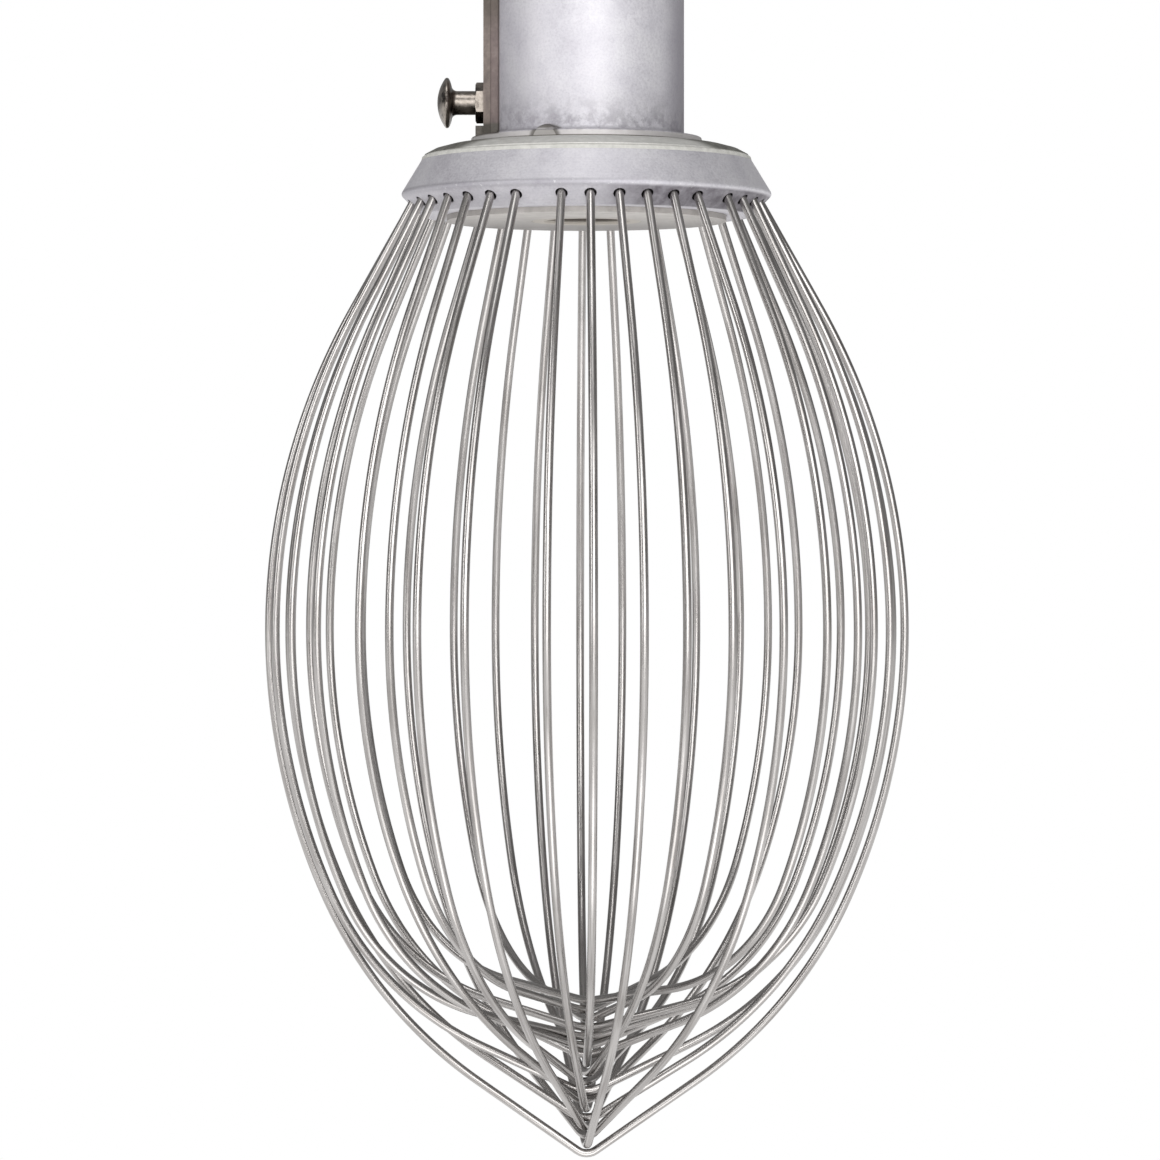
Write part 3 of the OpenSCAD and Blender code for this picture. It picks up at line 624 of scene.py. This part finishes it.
def drawn_wire():
    """Stainless steel wire, 4 mm, drawn and then years in the bowl: mid-grey and satin, with long streaks
    along the wire and dull brown-grey patches."""
    material, tree, shader = new_material("drawn_stainless_wire")
    run = add(tree, "ShaderNodeAttribute", (-1700, 0), attribute_name="wire_run").outputs["Vector"]
    # x goes round the wire from 0 to 1, y is the way along it in metres.
    long_way = add(tree, "ShaderNodeMapping", (-1500, 100),
                   {"Vector": run, "Scale": (3.0, 14.0, 1.0)}).outputs[0]
    streak = add(tree, "ShaderNodeTexNoise", (-1300, 100),
                 {"Vector": long_way, "Scale": 2.0, "Detail": 2.0, "Roughness": 0.5}).outputs["Fac"]
    tone = add(tree, "ShaderNodeValToRGB", (-1050, 100), {"Fac": streak},
               stops=[(0.3, "979391"), (0.5, "aaa7a5"), (0.7, "bab7b5")]).outputs["Color"]
    short_way = add(tree, "ShaderNodeMapping", (-1500, -300),
                    {"Vector": run, "Scale": (0.8, 9.0, 1.0)}).outputs[0]
    dull_noise = add(tree, "ShaderNodeTexNoise", (-1300, -300),
                     {"Vector": short_way, "Scale": 2.0, "Detail": 4.0, "Roughness": 0.6}).outputs["Fac"]
    darkening = add(tree, "ShaderNodeMapRange", (-1050, -300),
               {"Value": dull_noise, "From Min": 0.52, "From Max": 0.68},
               interpolation_type="SMOOTHSTEP").outputs[0]
    dull_share = add(tree, "ShaderNodeMath", (-850, -300), {0: darkening, 1: 0.45},
                     operation="MULTIPLY").outputs[0]
    tone = add(tree, "ShaderNodeMix", (-600, 100), {0: dull_share, 6: tone, 7: srgb("7b7672")},
               data_type="RGBA").outputs[2]
    tree.links.new(tone, shader.inputs["Base Color"])
    shader.inputs["Metallic"].default_value = 1.0
    rough = add(tree, "ShaderNodeMapRange", (-800, -200),
                {"Value": streak, "From Min": 0.3, "From Max": 0.7, "To Min": 0.23, "To Max": 0.34})
    tree.links.new(rough.outputs["Result"], shader.inputs["Roughness"])
    bump = add(tree, "ShaderNodeBump", (-300, -300),
               {"Strength": 0.05, "Distance": 5e-05, "Height": streak})
    tree.links.new(bump.outputs["Normal"], shader.inputs["Normal"])
    return material


# Wires
# The loops' rules are the CAD source's own, in millimetres.
# Three groups of six loops: the first loop's azimuth in each, and the step inside a group, in degrees.
GROUP_START = [-8, 52, 111]
GROUP_SIZE = 6
WIRE_PITCH = 9.2
# Each loop's place in the stack at the tip, counted from the lowest, and how far it falls short at the
# waist.
STACK_PLACE = [5, 10, 1, 9, 15, 2, 17, 11, 14, 4, 0, 7, 13, 12, 6, 16, 8, 3]
WAIST_SHORT = [21, 7, 8, 16, 14, 6, 11, 8, 9, 6, 0, 3, 4, 7, 16, 15, 7, 10]
CAGE_RADIUS = 151.5
HOLE_RADIUS = 83.4
HOLE_MOUTH_Z = (FLANGE_CORNER - (FLANGE_RADIUS - HOLE_RADIUS * MM) / BEVEL_LEAN) / MM
WAIST_DEPTH = 235
CAGE_DEPTH = 484
CROSSING_STEP = 4.29
UPPER_SHARE = 0.93
LOWER_RATIO = 2.05
LOWER_TURN = math.radians(24)
BEND_SHARE = 0.45
TIP_ROUND = 7.6
TIP_ROUND_STEP = 1.62
WIRE_SEAT = 14
WIRE_RADIUS = 2.0
# Points on the straights stand about this far apart.
POINT_PITCH = 4
# Metres of drawn wire between the starts of two loops, so that no two have the same streaks.
RUN_STEP = 3.7


def arc(centre, radius, start, end, pitch=3.0):
    """Points (distance from the axis, height) along an arc, about every pitch millimetres."""
    steps = max(6, int(abs(end - start) * radius / pitch))
    return [(centre[0] + radius * math.cos(start + (end - start) * k / steps),
             centre[1] + radius * math.sin(start + (end - start) * k / steps)) for k in range(steps + 1)]


def leg_points(loop):
    """One leg from its end in the flange down to the tip's round, and the tip's radius, slope and drop."""
    waist = CAGE_RADIUS - WAIST_SHORT[loop]
    side = waist - HOLE_RADIUS
    rise = HOLE_MOUTH_Z + WAIST_DEPTH
    upper = UPPER_SHARE * (side * side + rise * rise) / (2 * side)
    dx = HOLE_RADIUS - (waist - upper)
    reach = math.hypot(dx, rise)
    angle = math.atan2(rise, dx) - math.acos(upper / reach)
    straight = math.sqrt(reach * reach - upper * upper) + WIRE_SEAT
    end = (waist - upper + upper * math.cos(angle), -WAIST_DEPTH + upper * math.sin(angle))
    steps = max(4, int(straight / POINT_PITCH))
    # A straight out of the hole, a long arc tangent to it round to the waist, and a tighter one below the
    # waist.
    points = []
    for k in range(steps, 0, -1):
        along = straight * k / steps
        points.append((end[0] - math.sin(angle) * along, end[1] + math.cos(angle) * along))
    points += arc((waist - upper, -WAIST_DEPTH), upper, angle, 0)
    lower = LOWER_RATIO * waist
    points += arc((waist - lower, -WAIST_DEPTH), lower, 0, -LOWER_TURN)[1:]
    drop = CAGE_DEPTH - WAIST_DEPTH - CROSSING_STEP * STACK_PLACE[loop]
    knee = (waist - lower + lower * math.cos(LOWER_TURN), lower * math.sin(LOWER_TURN))
    chord = math.atan2(knee[0], drop - knee[1])
    slope = chord + BEND_SHARE * (chord - LOWER_TURN)
    tip = TIP_ROUND + TIP_ROUND_STEP * STACK_PLACE[loop]
    # The rounding's radius and the straight's length that join the knee to the tip: two equations, two
    # unknowns.
    a, b = math.cos(LOWER_TURN) - math.cos(slope), math.sin(slope)
    c, d = math.sin(slope) - math.sin(LOWER_TURN), math.cos(slope)
    e = knee[0] - tip * math.cos(slope)
    f = drop - tip + tip * math.sin(slope) - knee[1]
    det = a * d - b * c
    shoulder = (e * d - b * f) / det
    run = (a * f - c * e) / det
    centre = (knee[0] - shoulder * math.cos(LOWER_TURN),
              -WAIST_DEPTH - knee[1] + shoulder * math.sin(LOWER_TURN))
    points += arc(centre, shoulder, -LOWER_TURN, -slope)[1:]
    steps = max(2, int(run / POINT_PITCH))
    last = points[-1]
    points += [(last[0] - math.sin(slope) * run * k / steps, last[1] - math.cos(slope) * run * k / steps)
               for k in range(1, steps + 1)]
    return points, tip, slope, drop


def azimuth(loop):
    """The way a loop faces round the socket's axis."""
    return math.radians(GROUP_START[loop // GROUP_SIZE] + WIRE_PITCH * (loop % GROUP_SIZE))


def loop_path(loop):
    """The whole loop's centre line in the part's frame, in metres."""
    leg, tip, slope, drop = leg_points(loop)
    bottom = arc((0, tip - WAIST_DEPTH - drop), tip, -slope, slope - math.pi, 1.5)[1:-1]
    flat = leg + bottom + [(-x, z) for x, z in reversed(leg)]
    turn = azimuth(loop)
    return [Vector((x * math.sin(turn), -x * math.cos(turn), z)) / 1000 for x, z in flat], turn


def sweep_wire(loop, sides=20):
    """A tube along the loop: a circle of edges, extruded and carried from point to point of the path."""
    path, turn = loop_path(loop)
    across = Vector((math.cos(turn), math.sin(turn), 0))
    work = bmesh.new()
    run = work.verts.layers.float_vector.new("wire_run")
    ring = bmesh.ops.create_circle(work, segments=sides, radius=WIRE_RADIUS / 1000)["verts"]
    for number, vertex in enumerate(ring):
        vertex[run] = (abs(1 - 2 * number / sides), 0, 0)
    edges = list(work.edges)
    stand, gone = Matrix.Identity(4), loop * RUN_STEP
    for k, point in enumerate(path):
        before, after = path[max(k - 1, 0)], path[min(k + 1, len(path) - 1)]
        forward = (after - before).normalized()
        frame_here = Matrix((across, across.cross(forward), forward)).transposed().to_4x4()
        frame_here.translation = point
        if k:
            gone += (point - path[k - 1]).length
            made = bmesh.ops.extrude_edge_only(work, edges=edges)["geom"]
            ring = [item for item in made if isinstance(item, bmesh.types.BMVert)]
            corners = set(ring)
            edges = [item for item in made
                     if isinstance(item, bmesh.types.BMEdge) and corners.issuperset(item.verts)]
        bmesh.ops.transform(work, matrix=frame_here @ stand.inverted(), verts=ring)
        for vertex in ring:
            vertex[run] = (vertex[run].x, gone, 0)
        stand = frame_here
    bmesh.ops.holes_fill(work, edges=[edge for edge in work.edges if edge.is_boundary], sides=0)
    for face in work.faces:
        face.smooth = len(face.verts) == 4
    return work


# Locking plunger
# Sizes in millimetres, and distances from the socket's axis.
PLUNGER_Z = 16.7
NOSE_TIP = 14.0
NOSE_RADIUS = 4.5
NOSE_CHAMFER = 1.2
SHOULDER_INNER = 27.3
SHOULDER_OUTER = 30.0
SHOULDER_RADIUS = 7.6
STEM_RADIUS = 5.7
STEM_END = 56.0
NECK_ROUND = 2.6
KNOB_BACK = 64.3
KNOB_RIM = [(64.7, 9.6), (65.1, 10.7), (65.6, 11.6), (66.1, 11.95), (66.7, 12.0), (67.1, 11.9)]
KNOB_FACE = 71.1
DOME_RADIUS = 20.0
DOME_ANGLES = (34, 31, 28, 24, 20, 16, 12, 8, 4, 0)
SPRING_WIRE = 0.55
SPRING_RADIUS = 6.85
SPRING_TURNS = 4
SPRING_OUTER = 40.05
SPRING_INNER = 30.85


def turned(profile, steps=96):
    """A closed turned solid along -X at the plunger's height, from (distance from the axis, radius)
    points."""
    work = bmesh.new()
    line = [work.verts.new((-d / 1000, 0, (PLUNGER_Z + r) / 1000)) for d, r in profile]
    edges = [work.edges.new(pair) for pair in zip(line, line[1:])]
    bmesh.ops.spin(work, geom=line + edges, cent=(0, 0, PLUNGER_Z / 1000), axis=(1, 0, 0), angle=math.tau,
                   steps=steps, use_merge=True, use_duplicate=False)
    bmesh.ops.remove_doubles(work, verts=work.verts, dist=1e-6)
    bmesh.ops.holes_fill(work, edges=[e for e in work.edges if e.is_boundary], sides=0)
    bmesh.ops.recalc_face_normals(work, faces=work.faces)
    return work


def soften(work, offset, angle=25, segments=3):
    """Rounds every edge that turns by more than the angle."""
    sharp = [e for e in work.edges if len(e.link_faces) == 2 and e.calc_face_angle(0) > math.radians(angle)]
    bmesh.ops.bevel(work, geom=sharp, offset=offset / 1000, offset_type="OFFSET", affect="EDGES",
                    segments=segments, profile=0.5, material=-1, clamp_overlap=True)
    for face in work.faces:
        face.smooth = True


def plunger_mesh():
    """Nose, shoulder, stem and a mushroom head with a dished neck and a slightly domed face."""
    nose = [(NOSE_TIP, 0.0), (NOSE_TIP, NOSE_RADIUS - NOSE_CHAMFER), (NOSE_TIP + NOSE_CHAMFER, NOSE_RADIUS)]
    shoulder = [(SHOULDER_INNER, NOSE_RADIUS), (SHOULDER_INNER, SHOULDER_RADIUS),
                (SHOULDER_OUTER, SHOULDER_RADIUS), (SHOULDER_OUTER, STEM_RADIUS)]
    turns = [math.radians(degrees) for degrees in range(0, 91, 15)]
    neck = [(KNOB_BACK - NECK_ROUND * (1 - math.sin(turn)), STEM_RADIUS + NECK_ROUND * (1 - math.cos(turn)))
            for turn in turns]
    turns = [math.radians(degrees) for degrees in DOME_ANGLES]
    dome = [(KNOB_FACE - DOME_RADIUS * (1 - math.cos(turn)), DOME_RADIUS * math.sin(turn)) for turn in turns]
    work = turned(nose + shoulder + [(STEM_END, STEM_RADIUS)] + neck + KNOB_RIM + dome)
    soften(work, offset=0.18, angle=32, segments=2)
    return work


def coil_spring():
    """The plunger's spring: a circle of wire spun round the stem while it moves along it."""
    work = bmesh.new()
    wire = bmesh.ops.create_circle(work, segments=12, radius=SPRING_WIRE / 1000)["verts"]
    bmesh.ops.translate(work, vec=(-SPRING_OUTER / 1000, SPRING_RADIUS / 1000, PLUNGER_Z / 1000), verts=wire)
    steps = 32 * SPRING_TURNS
    bmesh.ops.spin(work, geom=work.verts[:] + work.edges[:], cent=(0, 0, PLUNGER_Z / 1000), axis=(1, 0, 0),
                   dvec=((SPRING_OUTER - SPRING_INNER) / 1000 / steps, 0, 0), angle=math.tau * SPRING_TURNS,
                   steps=steps, use_duplicate=False)
    bmesh.ops.holes_fill(work, edges=[edge for edge in work.edges if edge.is_boundary], sides=0)
    for face in work.faces:
        face.smooth = len(face.verts) == 4
    return work


# The part
hub_metal = cast_aluminium()
plate_metal = dulled_plate()
# Sealant, once white and now the colour of cream; rubbery and matt.
seal_rubber = worked_metal("cream_sealant", "a9a8a3", "bebdb8", 0.55, 0.7, metallic=0.0)
base_metal = stained_plate()
# Turned steel, with brown grease left in patches.
worn_steel = worked_metal("greasy_turned_steel", "5f5953", "a39b93", 0.22, 0.42, scale=260.0, metallic=1.0,
                          grime="2f2a27")
# Spring wire, oiled and dark.
spring_metal = worked_metal("oiled_spring_steel", "4a4a4c", "77777a", 0.3, 0.45)
wire_metal = drawn_wire()

LOOK = {"hub_casting": hub_metal, "top_plate": plate_metal, "edge_seal": seal_rubber,
        "base_plate": base_metal, "plunger": worn_steel, "plunger_collar": worn_steel,
        "plunger_spring": spring_metal}
for node_name, node in NODES.items():
    node.data.materials.clear()
    node.data.materials.append(LOOK.get(node_name, wire_metal))

for loop in range(len(STACK_PLACE)):
    number = f"{loop + 1:02d}"
    finish_piece(f"wire_{number}", sweep_wire(loop), wire_metal, "whip", (f"wire_loop_{number}",))

finish_piece("locking_plunger", plunger_mesh(), worn_steel, "plunger", ("plunger",))
spring = finish_piece("coil_spring", coil_spring(), spring_metal, "whip", ("plunger_spring",))
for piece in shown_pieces():
    if "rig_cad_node" not in piece:
        piece.data.set_sharp_from_angle(angle=math.radians(38))
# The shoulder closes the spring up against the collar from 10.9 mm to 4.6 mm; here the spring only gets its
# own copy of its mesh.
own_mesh(spring)


# Camera and light
# The camera stands level, 2.5 m in front of the whip, with a long lens, as the photographer's did.
camera_data = bpy.data.cameras.new("camera")
camera_data.sensor_width = 36
camera_data.lens = 161.3
camera = bpy.data.objects.new("camera", camera_data)
bpy.context.scene.collection.objects.link(camera)
camera.location = (-0.0031, -2.478, -0.2107)
camera.rotation_euler = (math.radians(90), 0, 0)
camera_data.clip_end = 50
bpy.context.scene.camera = camera


def softbox(name, place, target, size, power):
    """A white rectangle of light, turned towards the target."""
    data = bpy.data.lights.new(name, "AREA")
    data.shape = "RECTANGLE"
    data.size, data.size_y = size
    data.energy = power
    lamp = bpy.data.objects.new(name, data)
    bpy.context.scene.collection.objects.link(lamp)
    lamp.location = place
    lamp.rotation_euler = (Vector(target) - Vector(place)).to_track_quat("-Z", "Y").to_euler()


def studio():
    """White to the eye. As a light it is dimmer, and dimmest to the sides, so that the metal keeps dark
    edges; below the horizon it is as bright as the white table of a photographer."""
    world = bpy.data.worlds.new("studio")
    world.use_nodes = True
    tree = world.node_tree
    way = add(tree, "ShaderNodeTexCoord", (-1300, -200)).outputs["Generated"]
    direction = add(tree, "ShaderNodeSeparateXYZ", (-1100, -200), {0: way}).outputs
    sideways = add(tree, "ShaderNodeMath", (-900, -200), {0: direction[0]},
                   operation="ABSOLUTE").outputs[0]
    sides = add(tree, "ShaderNodeMapRange", (-700, -200),
                {"Value": sideways, "From Min": 0.25, "From Max": 0.9, "To Min": 0.33,
                 "To Max": 0.24}).outputs[0]
    table = add(tree, "ShaderNodeMapRange", (-500, -200),
                {"Value": direction[2], "From Min": 0.0, "From Max": -0.03, "To Min": sides,
                 "To Max": 1.15}).outputs[0]
    seen = add(tree, "ShaderNodeLightPath", (-500, 200)).outputs["Is Camera Ray"]
    level = add(tree, "ShaderNodeMapRange", (-300, 0),
                {"Value": seen, "To Min": table, "To Max": 1.0}).outputs[0]
    background = tree.nodes["Background"]
    background.inputs["Color"].default_value = srgb("ffffff")
    tree.links.new(level, background.inputs["Strength"])
    bpy.context.scene.world = world


# A large light in front and to the right, a strip on the left, and smaller ones above and below.
softbox("key_light", (0.45, -2.6, 0.4), (0, 0, -0.15), (2.2, 1.5), 40)
softbox("left_light", (-1.7, -1.2, 0.5), (0, 0, -0.2), (0.5, 1.4), 11)
softbox("top_light", (0.0, -1.1, 2.0), (0, 0, -0.1), (1.2, 1.0), 15)
softbox("below_light", (0.1, -1.7, -1.6), (0, 0, -0.1), (1.6, 1.0), 12)
studio()
bpy.context.scene.view_settings.view_transform = "Standard"
